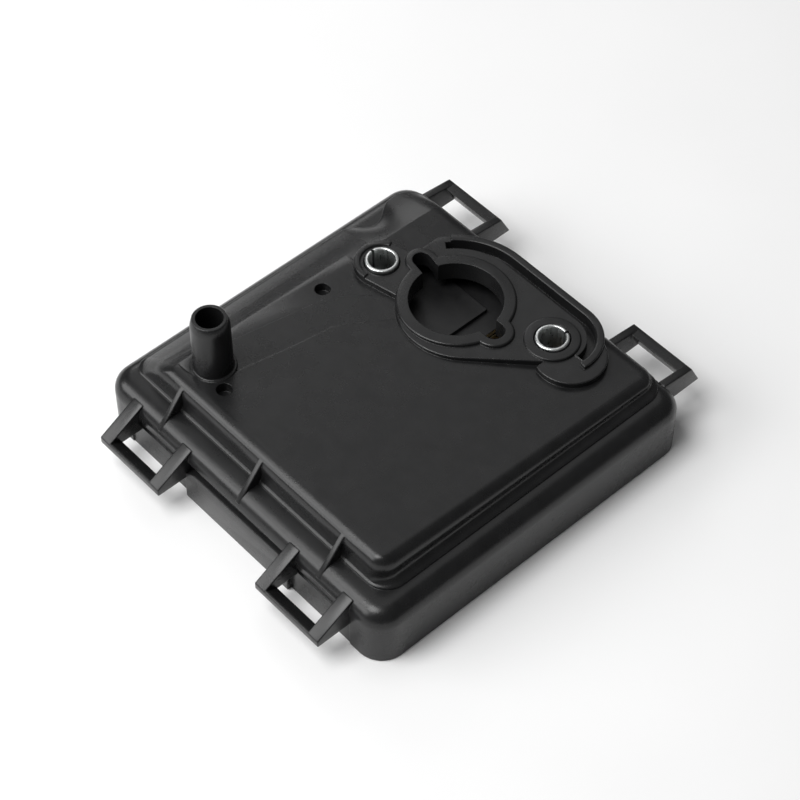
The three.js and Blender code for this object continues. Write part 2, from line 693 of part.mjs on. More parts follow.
const group = new THREE.Group();
for (const [name, slot, make] of PIECES) {
  const geometry = geometryOf(make()).translate(0, -MIDDLE_Y, 0);
  const material = new THREE.MeshStandardMaterial({ name: slot, ...MATERIALS[slot] });
  const mesh = new THREE.Mesh(geometry, material);
  mesh.name = name;
  group.add(mesh);
}

export default group;
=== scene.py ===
"""Looks of the air filter housing: fine rounded meshes and procedural materials on its CAD."""

import math

import bpy
from mathutils import Matrix, Vector


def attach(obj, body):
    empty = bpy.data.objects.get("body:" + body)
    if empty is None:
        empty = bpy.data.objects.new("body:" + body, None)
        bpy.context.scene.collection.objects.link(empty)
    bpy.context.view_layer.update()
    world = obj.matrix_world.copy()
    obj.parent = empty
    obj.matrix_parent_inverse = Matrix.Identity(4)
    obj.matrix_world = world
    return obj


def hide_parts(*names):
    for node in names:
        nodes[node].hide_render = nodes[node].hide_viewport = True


# ------------------------------------------------------------- sizes in millimetres

MM = 0.001
WALL = 2.0
MIDDLE_Y = 0.9  # the row's origin is this far along +Y from the middle of the skirt

SKIRT = dict(half_x=50.4, half_y=50.15, corner=6.8, fillet=4.6, top=16.9, rim_edge=0.3)
FOOT = dict(left=-46.4, right=44.4, front=-43.0, back=47.5, corner=5.2, z=17.6)
LEFT_CORNER = 4.0
MIN_CORNER, CORNER_TAPER = 1.2, 1.25
STEP = dict(out=0.6, z=17.5, edge=0.25)
PLATEAU = dict(z=22.8, slope=-0.05, edge=3.2)
LEAN = dict(right=1.7, front=0.4, back=0.4)
LEFT_SLOPE = dict(run=11.8, straight=0.8)  # straight is the share that doesn't curve
WALL_SHARE = 0.5  # share of the upper body's height where the wall turns into the rounded edge
WALL_STEPS, EDGE_STEPS = 12, 8
WAVE = dict(y=32.0, half=8.5, depth=4.2, start=0.85, end=-1.0, points=24, reach=13.0)

PORT = dict(x=-6.0, y=25.6, r=11.8, neck=13.8, neck_bottom=18.4, collar=14.9)
LOBES = [dict(x=-21.4, y=28.2, r=2.3, collar=4.1), dict(x=7.7, y=25.5, r=2.7, collar=5.0)]
PAD = dict(x=-3.6, y=25.9, r=16.7, z=23.2, root=17.8, left=-24.7)
COLLAR_Z, COLLAR_EDGE = 24.0, 0.5
CLEAR_Z = COLLAR_Z + 5.0  # where the port's cutters end
BOSS_R, BOSS_BOTTOM = 6.6, 16.0
BOSS_RING = dict(r=7.0, z=23.7)
BOSS_RIDGE = dict(r=6.2, width=1.6, start=117.0, end=280.0)
BUSH = dict(r=4.3, bore=3.3, split=0.7, bottom=16.1, top=24.2, lip=0.45, mouth=0.3)
BUSHES = {
    "bush_left": dict(x=-27.9, y=20.8, split=178.0),
    "bush_right": dict(x=18.7, y=34.4, split=72.0),
}
HOOK = dict(x=18.6, y=35.3)
RIB = dict(arc=20.8, width=2.0, root=15.4, top=23.9, start=141.0, end=-8.0)
GROOVE = dict(arc=18.7, width=2.2, floor=20.6, start=145.0, end=0.0)
HEEL = dict(x=25.0, y=34.4, r=9.1, z=23.0, left=22.2, edge=0.3)
LEAD_IN = dict(back_drop=2.5, edge=0.2)

TUBE = dict(x=-29.1, y=-32.1, r=4.85, bore=3.35, taper=0.1)
TUBE_FOOT = dict(r=5.7, disc=0.3, edge=0.12, flare=0.35)
TUBE_TIP = dict(r=4.35, z=39.4, top=41.5, edge=0.25)
TUBE_SHOULDER = dict(below=0.3, above=0.1, inset=0.08)
PEG_HOLE = dict(r=2.0, depth=3.0, boss=3.4, boss_depth=4.6)
PEG_HOLES = [(-31.6, 4.5), (-21.4, -35.1)]
GUSSET_XS = [-29.0, 0.2, 29.0]
GUSSET = dict(width=1.4, root_in=1.6, top_in=0.6, top_drop=1.6, edge=0.2)
GUSSET_TIP = dict(inset=0.25, z=14.3, depth=1.5)

FRONT_LOOPS = [(-39.9, -17.7), (17.9, 40.1)]
FRONT_LOOP = dict(arm=3.6, bar_in=5.7, bar_out=9.4, z0=7.8, bar_z=9.9, root_z=16.1)
FRONT_BAR_LIP, FRONT_BAR_RISE = 0.5, 0.1
BACK_LOOPS = [(-43.6, -23.7), (23.7, 43.6)]
BACK_LOOP = dict(arm=2.2, bar_in=5.0, bar_out=8.1, z0=9.0, bar_z=15.0, root_z=16.0, lean=3.1)
LOOP_EDGE = 0.25
LOOP_ROOT = -1.5  # outwards from the wall, so the loops start inside it
BAND = dict(half_x=40.2, low_top=8.6, high_top=12.7, low=0.4, high=0.8)
WALL_PAD = dict(x0=-18.5, x1=19.0, top=10.9, corner=4.0, proud=0.8, edge=0.15)

SCREW = dict(x=37.0, y=36.8, shank=1.4, post=3.6, tip=15.6)
GUIDE_TOP = 13.8
GAP = 0.3

# The plateau drops a little towards the left in two steps, each with a short ramp on its line.
TERRACE = dict(ramp=0.35, left=-60.0, cutter=4.0)
TERRACES = [
    dict(
        depth=0.25,
        line=[
            (-32, -38.5), (-27, -37.2), (-24.6, -34.6), (-24.2, -31), (-21.2, -11.8),
            (-20.2, -2.6), (-18.9, 0.4), (-13.1, 9.6), (-8, 17),
        ],
    ),
    dict(
        depth=0.5,
        line=[
            (-33, -26), (-32.4, -22.8), (-29.6, -4.6), (-28.7, 2), (-26.7, 6), (-22.8, 11.2),
            (-17, 17),
        ],
    ),
]

CORNER_STEPS = 16
SIDES = 96
ROUND_STEPS = 4
FILLET_STEPS = 10
FLARE_STEPS = 8
BEVEL_SEGMENTS = 3
EDGE = 0.35  # rounding of small moulded edges
REACH = 1.0  # how far cutters and joined solids reach past the face they meet
SHARP_ANGLE = 32  # degrees between faces from which an edge is shaded sharp
NODE_EDGE_ANGLE = 40  # degrees between faces from which a CAD node's edge is rounded

# Camera, fitted to the outline of the object.
AZIMUTH, ELEVATION = 47.94, 50.66
DISTANCE = 618.0
AIM = Vector((-6.05, 6.25, 0.0))
LENS, SENSOR = 111.67, 36.0

# Studio, in metres and watts.
FLOOR_HALF = 3.0
WORLD_STRENGTH = 0.12
LIT_POINT = Vector((0.0, 0.0, 0.01))
LIGHTS = {
    "front_left": dict(spot=(-0.52, -0.76, 0.56), size=(0.9, 0.5), power=6.5),
    "left_high": dict(spot=(-0.85, 0.48, 0.56), size=(0.35, 0.35), power=1.2),
    "over_camera": dict(spot=(-0.15, -0.45, 1.0), size=(0.6, 0.6), power=9),
    "back_top": dict(spot=(-0.45, 0.36, 1.05), size=(0.9, 0.9), power=1.5),
}


# ------------------------------------------------------------- mesh helpers

def mesh_object(name, verts, faces):
    mesh = bpy.data.meshes.new(name)
    mesh.from_pydata([tuple(v) for v in verts], [], faces)
    mesh.update()
    made = bpy.data.objects.new(name, mesh)
    bpy.context.scene.collection.objects.link(made)
    return made


def loft(rings):
    """Solid skinned over rings with one count of points, each counter-clockwise from above."""
    count = len(rings[0])
    faces = []
    for k in range(len(rings) - 1):
        low, high = k * count, (k + 1) * count
        for i in range(count):
            j = (i + 1) % count
            faces.append((low + i, low + j, high + j, high + i))
    top = (len(rings) - 1) * count
    faces.append(tuple(reversed(range(count))))
    faces.append(tuple(range(top, top + count)))
    return mesh_object("loft", [point for ring in rings for point in ring], faces)


def at(outline, z):
    """Level ring of the outline at height z."""
    return [Vector((x, y, z)) for x, y in outline]


def arc(cx, cy, r, start, end, steps=24):
    """Points of an arc between two angles in degrees."""
    angles = [math.radians(start + (end - start) * i / steps) for i in range(steps + 1)]
    return [(cx + r * math.cos(a), cy + r * math.sin(a)) for a in angles]


def circle(cx, cy, r):
    return arc(cx, cy, r, 0, 360, SIDES)[:-1]


def rounded_rect(x0, x1, y0, y1, radii):
    """Corners in the order front left, front right, back right, back left."""
    a, b, c, d = radii if isinstance(radii, tuple) else (radii,) * 4
    return (
        arc(x0 + a, y0 + a, a, 180, 270, CORNER_STEPS)
        + arc(x1 - b, y0 + b, b, 270, 360, CORNER_STEPS)
        + arc(x1 - c, y1 - c, c, 0, 90, CORNER_STEPS)
        + arc(x0 + d, y1 - d, d, 90, 180, CORNER_STEPS)
    )


def moved_in(outline, distance):
    """The outline with each point moved inwards along the mean normal of its two sides."""
    count = len(outline)
    moved = []
    for i, (x, y) in enumerate(outline):
        before, after = Vector(outline[i - 1]), Vector(outline[(i + 1) % count])
        here = Vector((x, y))
        first = (here - before).normalized()
        second = (after - here).normalized()
        n1, n2 = Vector((-first.y, first.x)), Vector((-second.y, second.x))
        mean = (n1 + n2).normalized()
        step = distance / max(mean.dot(n1), 0.5)
        moved.append((x + mean.x * step, y + mean.y * step))
    return moved


def counter_clockwise(outline):
    area = sum(
        outline[i - 1][0] * outline[i][1] - outline[i][0] * outline[i - 1][1]
        for i in range(len(outline))
    )
    return outline if area > 0 else list(reversed(outline))


def prism(outline, z0, z1, edge=0.0):
    """Upright prism whose top edge is rounded by edge."""
    outline = counter_clockwise(outline)
    rings = [at(outline, z0)]
    if edge == 0:
        return loft(rings + [at(outline, z1)])
    for i in range(ROUND_STEPS + 1):
        angle = math.radians(90 * i / ROUND_STEPS)
        inset = edge * (1 - math.cos(angle))
        rings.append(at(moved_in(outline, inset), z1 - edge + edge * math.sin(angle)))
    return loft(rings)


def cylinder(x, y, r, z0, z1, edge=0.0):
    return prism(circle(x, y, r), z0, z1, edge)


def turned(x, y, profile):
    """Stack of circles whose radii and heights are given from bottom to top."""
    return loft([at(circle(x, y, r), z) for r, z in profile])


def block(x0, x1, y0, y1, z0, z1):
    return loft([at([(x0, y0), (x1, y0), (x1, y1), (x0, y1)], z) for z in (z0, z1)])


def side_plate(points, x0, x1, edge):
    """Plate between x0 and x1 with rounded edges; its outline is a list of (y, z) points."""
    count = len(points)
    outline = counter_clockwise(points)
    verts = [(x0, y, z) for y, z in outline] + [(x1, y, z) for y, z in outline]
    faces = [tuple(reversed(range(count))), tuple(range(count, 2 * count))]
    faces += [(i, (i + 1) % count, (i + 1) % count + count, i + count) for i in range(count)]
    plate = mesh_object("plate", verts, faces)
    bevel = plate.modifiers.new("edges", "BEVEL")
    bevel.width = edge
    bevel.segments = BEVEL_SEGMENTS
    bevel.limit_method = "ANGLE"
    return apply_modifiers(plate)


def apply_modifiers(made):
    """Replaces the object's mesh by what its modifiers make of it."""
    graph = bpy.context.evaluated_depsgraph_get()
    mesh = bpy.data.meshes.new_from_object(made.evaluated_get(graph))
    made.modifiers.clear()
    made.data = mesh
    return made


def combine(base, tools, operation):
    """Boolean of base with each tool in turn; the tools are used up."""
    for tool in tools:
        step = base.modifiers.new("boolean", "BOOLEAN")
        step.operation = operation
        step.solver = "MANIFOLD"
        step.object = tool
    apply_modifiers(base)
    for tool in tools:
        bpy.data.objects.remove(tool)
    return base


def join(solids):
    return combine(solids[0], solids[1:], "UNION")


def cut(base, tools):
    return combine(base, tools, "DIFFERENCE")


def common(base, tool):
    return combine(base, [tool], "INTERSECT")


# ------------------------------------------------------------- base housing

def clamp01(value):
    return min(max(value, 0.0), 1.0)


def plateau_z(y):
    return PLATEAU["z"] + PLATEAU["slope"] * y


def wave(y):
    """How much of the bend in the left side there is at y, from 0 to 1."""
    t = clamp01(abs(y - WAVE["y"]) / WAVE["half"])
    return (1 + math.cos(math.pi * t)) / 2


def upper_outline(share, extra=0.0):
    """Outline of the upper body at a share of its height, moved inwards by extra.

    The right, front and back walls lean over near the foot, stand up and end in a rounded edge.
    The left side is one long slope with a bend in it, which is deepest at the foot.
    """
    past = clamp01((share - WALL_SHARE) / (1 - WALL_SHARE))
    edge = PLATEAU["edge"] * (1 - math.sqrt(1 - past * past))
    leaning = 1 - (1 - min(share / WALL_SHARE, 1)) ** 4
    right, front, back = (
        LEAN[side] * leaning + edge + extra for side in ("right", "front", "back")
    )
    straight = LEFT_SLOPE["straight"]
    climbed = straight * share + (1 - straight) * share**3
    left = FOOT["left"] + LEFT_SLOPE["run"] * climbed + extra
    corner = max(FOOT["corner"] - CORNER_TAPER * front, MIN_CORNER)
    left_corner = LEFT_CORNER - (LEFT_CORNER - MIN_CORNER) * past
    outline = rounded_rect(
        left,
        FOOT["right"] - right,
        FOOT["front"] + front,
        FOOT["back"] - back,
        (left_corner, corner, corner, corner),
    )
    start, end = WAVE["start"], WAVE["end"]
    for i in range(WAVE["points"]):
        along = start + (end - start) * i / (WAVE["points"] - 1)
        outline.append((left, WAVE["y"] + WAVE["half"] * along))
    depth = WAVE["depth"] * (1 - share)
    moved = []
    for x, y in outline:
        on_left = clamp01(1 - (x - left) / WAVE["reach"])
        moved.append((x + depth * wave(y) * on_left, y))
    return moved


def upper_ring(share, extra=0.0, drop=0.0):
    """Ring of the upper body, which rises with the plateau's slope, lowered by drop."""
    foot = FOOT["z"] - drop
    return [
        Vector((x, y, foot + share * (plateau_z(y) - FOOT["z"])))
        for x, y in upper_outline(share, extra)
    ]


def shares():
    """Shares of the upper body's height at which it has a ring."""
    wall = [WALL_SHARE * i / WALL_STEPS for i in range(WALL_STEPS)]
    edge = [
        WALL_SHARE + (1 - WALL_SHARE) * math.sin(math.radians(90 * i / EDGE_STEPS))
        for i in range(EDGE_STEPS + 1)
    ]
    return wall + edge


def upper_body():
    step = upper_outline(0, -STEP["out"])
    ledge = upper_outline(0, -STEP["out"] + STEP["edge"])
    rings = [at(step, SKIRT["top"] - WALL), at(step, STEP["z"] - STEP["edge"])]
    rings.append(at(ledge, STEP["z"]))
    return loft(rings + [upper_ring(share) for share in shares()])


def upper_cavity():
    rings = [at(upper_outline(0, WALL), SKIRT["top"] - 2 * WALL)]
    return loft(rings + [upper_ring(share, WALL, WALL) for share in shares()])


def skirt_block(inset, z0, top, fillet, bottom_edge=0.0):
    """Block of the skirt's outline moved inwards, with a round edge on top."""

    def outline(pull):
        x, y = SKIRT["half_x"] - pull, SKIRT["half_y"] - pull
        return rounded_rect(-x, x, -y, y, SKIRT["corner"] - pull)

    rings = [at(outline(inset + bottom_edge), z0)]
    if bottom_edge > 0:
        rings.append(at(outline(inset), z0 + bottom_edge))
    for i in range(FILLET_STEPS + 1):
        angle = math.radians(90 * i / FILLET_STEPS)
        pull = inset + fillet * (1 - math.cos(angle))
        rings.append(at(outline(pull), top - fillet + fillet * math.sin(angle)))
    return loft(rings)


def middle(part):
    return part["x"], part["y"]


def bridge(a, ra, b, rb):
    """Convex outline round two circles."""
    a, b = middle(a), middle(b)
    along = math.degrees(math.atan2(b[1] - a[1], b[0] - a[0]))
    opening = math.degrees(math.acos((ra - rb) / math.dist(a, b)))
    first = arc(*a, ra, along + opening, along + 360 - opening, steps=48)
    return first + arc(*b, rb, along - opening, along + opening, steps=32)


def hook_outline(band):
    """Band round the port, straight along X, then round the hook's own centre."""
    bend = PORT["y"] + band["arc"] - HOOK["y"]

    def side(offset):
        first = arc(*middle(PORT), band["arc"] + offset, band["start"], 90, steps=32)
        return first + arc(*middle(HOOK), bend + offset, 90, band["end"], steps=32)

    half = band["width"] / 2
    return side(half) + list(reversed(side(-half)))


def bend_face():
    """Raised face between the right bush and the rib, where the rib bends round the bush."""
    bend = PORT["y"] + RIB["arc"] - HOOK["y"]
    outline = [(HOOK["x"], HEEL["y"])] + arc(*middle(HOOK), bend, 0, 90)
    return prism(outline, PAD["root"], PAD["z"])


def mounting_pad():
    """Raised face under the port and both bushes, with a lead-in to the left end of the rib."""
    left, right = BUSHES.values()
    root, top = PAD["root"], PAD["z"]
    ring = BOSS_RING["r"]
    rib_outer = RIB["arc"] + RIB["width"] / 2
    back = PORT["y"] + RIB["arc"]
    behind = [middle(PORT), middle(right), (right["x"], back), (PORT["x"], back)]
    lead_in = [middle(PORT)] + arc(*middle(PORT), rib_outer, 85, RIB["start"], steps=16)
    rib_end = PORT["y"] + rib_outer * math.sin(math.radians(RIB["start"]))
    corner = rib_end - LEAD_IN["back_drop"]
    lead_in += [(PAD["left"], corner), (PAD["left"], PORT["y"])]
    return [
        prism(bridge(left, ring, PORT, ring), root, top, EDGE),
        prism(bridge(PAD, PAD["r"], right, ring), root, top, EDGE),
        prism(behind, root, top),
        prism(lead_in, root, top, LEAD_IN["edge"]),
    ]


def bosses():
    """A round step on the right and a curved ridge on the left."""
    left, right = BUSHES.values()
    ridge = BOSS_RIDGE
    outer, inner = (
        arc(*middle(left), ridge["r"] + offset, ridge["start"], ridge["end"], steps=40)
        for offset in (ridge["width"] / 2, -ridge["width"] / 2)
    )
    return [
        cylinder(*middle(right), BOSS_RING["r"], PAD["root"], BOSS_RING["z"], EDGE),
        prism(outer + list(reversed(inner)), PAD["root"], BOSS_RING["z"], EDGE),
    ]


def heel():
    """Low round step that stops short on its left."""
    disc = cylinder(*middle(HEEL), HEEL["r"], PAD["root"], HEEL["z"], HEEL["edge"])
    x0, x1 = HEEL["left"] - HEEL["r"], HEEL["left"]
    y0, y1 = HEEL["y"] - HEEL["r"] - REACH, BUSHES["bush_right"]["y"]
    return cut(disc, [block(x0, x1, y0, y1, PAD["root"] - REACH, HEEL["z"] + REACH)])


def collar():
    """Raised ring round the port and its two lobes."""
    root = PAD["root"]
    pieces = [cylinder(*middle(PORT), PORT["collar"], root, COLLAR_Z, COLLAR_EDGE)]
    for lobe in LOBES:
        outline = bridge(lobe, lobe["collar"], PORT, lobe["collar"])
        pieces.append(prism(outline, root, COLLAR_Z, COLLAR_EDGE))
    return pieces


def breather_tube():
    """Tapered tube on a thin disc, with a flared foot and a narrower tip."""
    foot = plateau_z(TUBE["y"])
    r, foot_r, tip_r = TUBE["r"], TUBE_FOOT["r"], TUBE_TIP["r"]
    disc_top = foot + TUBE_FOOT["disc"]
    edge = TUBE_FOOT["edge"]
    profile = [(foot_r, foot - REACH), (foot_r, disc_top - edge), (foot_r - edge, disc_top)]
    flare = TUBE_FOOT["flare"]
    for i in range(FLARE_STEPS + 1):
        angle = math.radians(90 * i / FLARE_STEPS)
        rise = flare * (1 - math.cos(angle))
        profile.append((r + TUBE["taper"] + flare * (1 - math.sin(angle)), disc_top + rise))
    profile.append((r, TUBE_TIP["z"] - TUBE_SHOULDER["below"]))
    profile.append((r - TUBE_SHOULDER["inset"], TUBE_TIP["z"] + TUBE_SHOULDER["above"]))
    profile.append((tip_r, TUBE_TIP["top"] - TUBE_TIP["edge"]))
    profile.append((tip_r - TUBE_TIP["edge"], TUBE_TIP["top"]))
    return turned(TUBE["x"], TUBE["y"], profile)


def gusset(x):
    """Thin rib from the top of the front wall down to the outside of the skirt."""
    inner = FOOT["front"] + GUSSET["root_in"]
    outer = -SKIRT["half_y"] + GUSSET_TIP["inset"]
    points = [
        (inner, plateau_z(inner) - REACH),
        (FOOT["front"] + GUSSET["top_in"], plateau_z(FOOT["front"]) - GUSSET["top_drop"]),
        (outer, GUSSET_TIP["z"]),
        (outer + REACH, GUSSET_TIP["z"] - GUSSET_TIP["depth"]),
        (inner, SKIRT["top"] - REACH),
    ]
    half = GUSSET["width"] / 2
    return side_plate(points, x - half, x + half, GUSSET["edge"])


def latch_loop(span, sign, arm, arm_outline, bar_outline):
    """Two arms and a bar; outlines give distance from the wall and height."""
    x0, x1 = span

    def on_side(points):
        return [(sign * (SKIRT["half_y"] + out), z) for out, z in points]

    return [
        side_plate(on_side(arm_outline), x0, x0 + arm, LOOP_EDGE),
        side_plate(on_side(arm_outline), x1 - arm, x1, LOOP_EDGE),
        side_plate(on_side(bar_outline), x0, x1, LOOP_EDGE),
    ]


def latch_loops():
    f, b = FRONT_LOOP, BACK_LOOP
    front_arm = [(LOOP_ROOT, f["z0"]), (f["bar_out"], f["z0"])]
    front_arm += [(f["bar_out"], f["bar_z"]), (LOOP_ROOT, f["root_z"])]
    front_bar = [(f["bar_in"], f["z0"]), (f["bar_out"], f["z0"]), (f["bar_out"], f["bar_z"])]
    front_bar.append((f["bar_out"] - FRONT_BAR_LIP, f["bar_z"] + FRONT_BAR_RISE))
    front_bar.append((f["bar_in"], f["z0"] + FRONT_BAR_LIP))
    back_arm = [(LOOP_ROOT, b["z0"]), (b["bar_out"] + b["lean"], b["z0"])]
    back_arm += [(b["bar_out"], b["bar_z"]), (LOOP_ROOT, b["root_z"])]
    back_bar = [(b["bar_in"] + b["lean"], b["z0"]), (b["bar_out"] + b["lean"], b["z0"])]
    back_bar += [(b["bar_out"], b["bar_z"]), (b["bar_in"], b["bar_z"])]
    pieces = []
    for span in FRONT_LOOPS:
        pieces += latch_loop(span, -1, f["arm"], front_arm, front_bar)
    for span in BACK_LOOPS:
        pieces += latch_loop(span, 1, b["arm"], back_arm, back_bar)
    return pieces


def wall_bands():
    """Cutters of the shallow recess in the front and back walls, deeper in its upper half."""
    low = (BAND["low"], -REACH, BAND["low_top"])
    high = (BAND["high"], BAND["low_top"], BAND["high_top"])
    bands = []
    for sign in (-1, 1):
        for depth, z0, z1 in (low, high):
            ys = sorted((sign * (SKIRT["half_y"] - depth), sign * (SKIRT["half_y"] + REACH)))
            bands.append(block(-BAND["half_x"], BAND["half_x"], *ys, z0, z1))
    return bands


def wall_pad():
    """Pad on the front wall, drawn flat and stood up against the wall."""
    r, top = WALL_PAD["corner"], WALL_PAD["top"]
    x0, x1 = WALL_PAD["x0"], WALL_PAD["x1"]
    outline = [(x0, 0), (x1, 0)]
    outline += arc(x1 - r, top - r, r, 0, 90, steps=12)
    outline += arc(x0 + r, top - r, r, 90, 180, steps=12)
    pad = prism(outline, 0, BAND["high"] + WALL_PAD["proud"], WALL_PAD["edge"])
    pad.data.transform(Matrix.Rotation(math.radians(90), 4, "X"))
    pad.data.transform(Matrix.Translation((0, BAND["high"] - SKIRT["half_y"], 0)))
    return pad


def screw_places():
    return [(sx * SCREW["x"], sy * SCREW["y"]) for sx in (-1, 1) for sy in (-1, 1)]


def terrace(depth, line):
    """The thin layer taken off the plateau left of a line, with a short ramp beside it."""
    left = TERRACE["left"]
    outline = counter_clockwise(line + [(left, line[-1][1]), (left, line[0][1])])
    rings = []
    for drop, inset in ((depth, TERRACE["ramp"]), (0, 0), (-TERRACE["cutter"], 0)):
        ring = moved_in(outline, inset)
        rings.append([Vector((x, y, plateau_z(y) - drop)) for x, y in ring])
    return loft(rings)


def inner_columns(outer):
    """Material round the holes below the closed side, kept inside the outer shape."""
    columns = [cylinder(*middle(PORT), PORT["neck"], PORT["neck_bottom"], COLLAR_Z)]
    columns += [cylinder(*middle(b), BOSS_R, BOSS_BOTTOM, COLLAR_Z) for b in BUSHES.values()]
    for x, y in PEG_HOLES:
        bottom = plateau_z(y) - PEG_HOLE["boss_depth"]
        columns.append(cylinder(x, y, PEG_HOLE["boss"], bottom, COLLAR_Z))
    for x, y in screw_places():
        columns.append(cylinder(x, y, SCREW["post"], GUIDE_TOP + GAP, COLLAR_Z))
    return common(join(columns), outer)


def drilled_holes():
    holes = [cylinder(*middle(PORT), PORT["r"], 0, CLEAR_Z)]
    for lobe in LOBES:
        holes.append(prism(bridge(lobe, lobe["r"], PORT, lobe["r"]), 0, CLEAR_Z))
    holes.append(prism(hook_outline(GROOVE), GROOVE["floor"], RIB["top"] + REACH))
    tube_bottom, tube_top = SKIRT["top"] - WALL, TUBE_TIP["top"] + REACH
    holes.append(cylinder(*middle(TUBE), TUBE["bore"], tube_bottom, tube_top))
    for bush in BUSHES.values():
        bottom, top = BOSS_BOTTOM - REACH, COLLAR_Z + REACH
        holes.append(cylinder(*middle(bush), BUSH["r"] + GAP, bottom, top))
    for x, y in PEG_HOLES:
        z = plateau_z(y)
        holes.append(cylinder(x, y, PEG_HOLE["r"], z - PEG_HOLE["depth"], z + 2 * REACH))
    for x, y in screw_places():
        holes.append(cylinder(x, y, SCREW["shank"] + GAP, 0, SCREW["tip"] + GAP))
    return holes


def copy_of(made):
    twin = made.copy()
    twin.data = made.data.copy()
    bpy.context.scene.collection.objects.link(twin)
    return twin


def base_housing():
    """The whole moulding: outer shapes joined, hollowed, given its columns and drilled."""
    skirt = skirt_block(0, 0, SKIRT["top"], SKIRT["fillet"], SKIRT["rim_edge"])
    skirt = cut(skirt, wall_bands())
    upper = cut(upper_body(), [terrace(**each) for each in TERRACES])
    outer = [skirt, upper, wall_pad(), breather_tube()]
    outer += mounting_pad() + bosses() + [heel(), bend_face()] + collar() + latch_loops()
    outer += [gusset(x) for x in GUSSET_XS]
    outer.append(prism(hook_outline(RIB), RIB["root"], RIB["top"], EDGE))
    body = join(outer)
    columns = inner_columns(copy_of(body))
    cut(body, [skirt_block(WALL, -REACH, SKIRT["top"] - WALL, WALL), upper_cavity()])
    join([body, columns])
    cut(body, drilled_holes())
    return place(body, "housing_shell")


def place(made, name):
    """Names a finished piece and brings it from its own millimetres to the row frame."""
    made.name = name
    made.data.name = name
    made.data.transform(Matrix.Translation((0, -MIDDLE_Y, 0)))
    made.data.transform(Matrix.Scale(MM, 4))
    made.data.shade_smooth()
    made.data.set_sharp_from_angle(angle=math.radians(SHARP_ANGLE))
    return made


def rounded_wall(r, z0, z1, lip):
    """Profile of an upright wall at radius r with both ends rounded inwards."""
    lower = []
    for i in range(ROUND_STEPS + 1):
        angle = math.radians(90 * (1 - i / ROUND_STEPS))
        lower.append((r - lip * (1 - math.cos(angle)), z0 + lip * (1 - math.sin(angle))))
    return lower + [(radius, z1 - (z - z0)) for radius, z in reversed(lower)]


def split_bush(name, spot):
    """Rolled bush with rounded ends, a chamfered bore and a split along one side."""
    x, y = middle(spot)
    bore, lip, mouth = BUSH["bore"], BUSH["lip"], BUSH["mouth"]
    top, bottom = BUSH["top"], BUSH["bottom"]
    sleeve = turned(x, y, rounded_wall(BUSH["r"], bottom, top, lip))
    bore_profile = [(bore + lip, bottom - REACH), (bore + lip, bottom), (bore, bottom + lip)]
    bore_profile += [(bore, top - lip), (bore + mouth / 2, top - mouth / 3)]
    bore_profile += [(bore + mouth, top), (bore + mouth, top + REACH)]
    hole = turned(x, y, bore_profile)
    half = BUSH["split"] / 2
    split = block(0, 2 * BUSH["r"], -half, half, bottom - 2 * REACH, top + 2 * REACH)
    split.data.transform(Matrix.Rotation(math.radians(spot["split"]), 4, "Z"))
    split.data.transform(Matrix.Translation((x, y, 0)))
    return place(cut(sleeve, [hole, split]), name + "_sleeve")


# ------------------------------------------------------------- materials

class Nodes:
    """Short hand for building one material's node tree."""

    def __init__(self, name):
        self.material = bpy.data.materials.new(name)
        self.material.use_nodes = True
        self.tree = self.material.node_tree
        self.shader = self.tree.nodes["Principled BSDF"]
        self.coords = self.add("ShaderNodeTexCoord").outputs["Object"]

    def add(self, kind, **values):
        node = self.tree.nodes.new(kind)
        for key, value in values.items():
            setattr(node, key, value)
        return node

    def link(self, source, target):
        self.tree.links.new(source, target)

    def noise(self, size_mm, detail=3.0, rough=0.5, stretch=None):
        """Noise whose largest features are about size_mm across."""
        node = self.add("ShaderNodeTexNoise")
        node.inputs["Scale"].default_value = 1 / (size_mm * MM)
        node.inputs["Detail"].default_value = detail
        node.inputs["Roughness"].default_value = rough
        source = self.coords
        if stretch:
            mapping = self.add("ShaderNodeMapping")
            mapping.inputs["Scale"].default_value = stretch
            self.link(self.coords, mapping.inputs["Vector"])
            source = mapping.outputs["Vector"]
        self.link(source, node.inputs["Vector"])
        return node.outputs["Fac"]

    def spread(self, source, low, high, start=0.3, end=0.7):
        """Maps a pattern from start..end to low..high."""
        node = self.add("ShaderNodeMapRange")
        node.inputs["From Min"].default_value = start
        node.inputs["From Max"].default_value = end
        node.inputs["To Min"].default_value = low
        node.inputs["To Max"].default_value = high
        self.link(source, node.inputs["Value"])
        return node.outputs["Result"]

    def blend(self, factor, first, second):
        node = self.add("ShaderNodeMix", data_type="RGBA")
        self.link(factor, node.inputs["Factor"])
        node.inputs["A"].default_value = (*first, 1)
        node.inputs["B"].default_value = (*second, 1)
        return node.outputs["Result"]

    def sum(self, first, second, weight):
        """The first pattern plus the weighted second one."""
        node = self.add("ShaderNodeMath", operation="MULTIPLY_ADD")
        self.link(second, node.inputs[0])
        node.inputs[1].default_value = weight
        self.link(first, node.inputs[2])
        return node.outputs[0]

    def bump(self, height, depth_mm, edge_mm=0.0):
        """Relief of a pattern, on a shading normal softened at the edges where edge_mm is given."""
        node = self.add("ShaderNodeBump")
        node.inputs["Distance"].default_value = depth_mm * MM
        self.link(height, node.inputs["Height"])
        if edge_mm > 0:
            bevel = self.add("ShaderNodeBevel", samples=6)
            bevel.inputs["Radius"].default_value = edge_mm * MM
            self.link(bevel.outputs["Normal"], node.inputs["Normal"])
        self.link(node.outputs["Normal"], self.shader.inputs["Normal"])

    def drive(self, socket, source):
        """Feeds one input of the shader from a pattern."""
        self.link(source, self.shader.inputs[socket])

    def fix(self, **values):
        """Sets inputs of the shader to plain values."""
        for socket, value in values.items():
            self.shader.inputs[socket.replace("_", " ")].default_value = value


